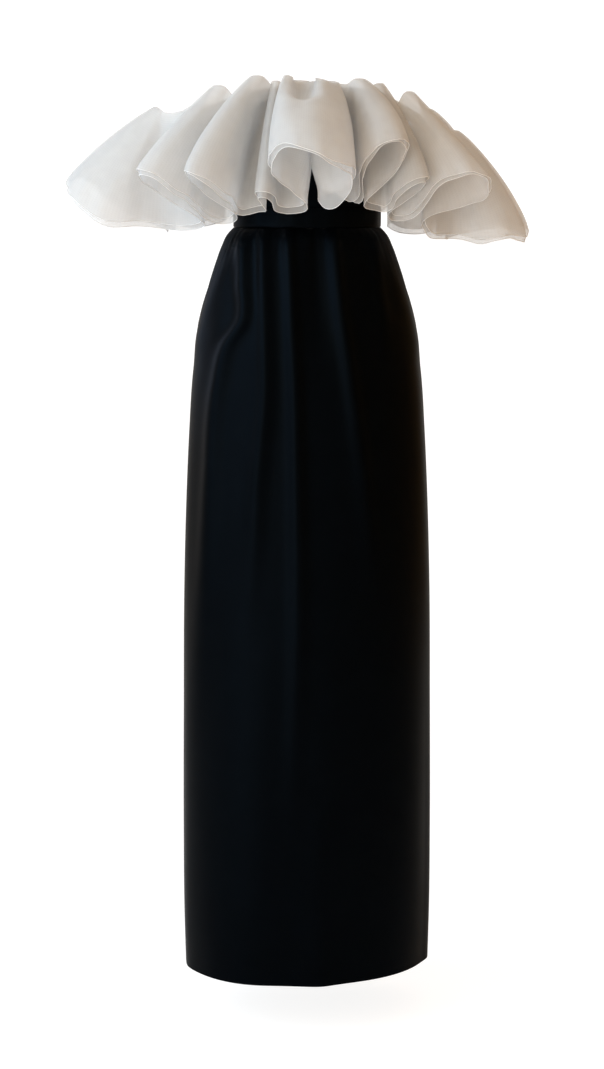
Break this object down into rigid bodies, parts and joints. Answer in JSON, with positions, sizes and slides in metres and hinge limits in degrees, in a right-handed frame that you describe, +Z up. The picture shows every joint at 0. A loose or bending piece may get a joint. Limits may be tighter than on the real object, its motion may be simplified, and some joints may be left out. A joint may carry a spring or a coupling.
{
  "type": "off-the-shoulder dress",
  "caption": "Long black straight dress held at the waist, with slanted hip pockets and a wide fluted sheer white frill round an off-the-shoulder neckline and both arms.",
  "frame": {"origin": "middle of the waist, halfway up the waistband, where the wearer holds the dress", "axes": "+Z up along the dress, front towards -Y, +X towards the wearer's left"},
  "size_m": [0.6772, 0.5473, 1.327],
  "materials": {
    "black_crepe": "soft black crepe with a faint sheen",
    "facing_crepe": "black crepe of the pocket facings",
    "white_binding": "white woven tape",
    "white_organza": "sheer crisp white organza"
  },
  "bodies": {
    "root": {"bodice_front": "black_crepe", "bodice_back_left": "black_crepe", "bodice_back_right": "black_crepe", "waistband": "black_crepe", "skirt_front": "black_crepe", "skirt_back_left": "black_crepe", "skirt_back_right": "black_crepe", "pocket_facing_left": "facing_crepe", "pocket_facing_right": "facing_crepe", "neck_binding": "white_binding", "ruffle_outer": "white_organza", "ruffle_under": "white_organza"}
  },
  "joints": []
}
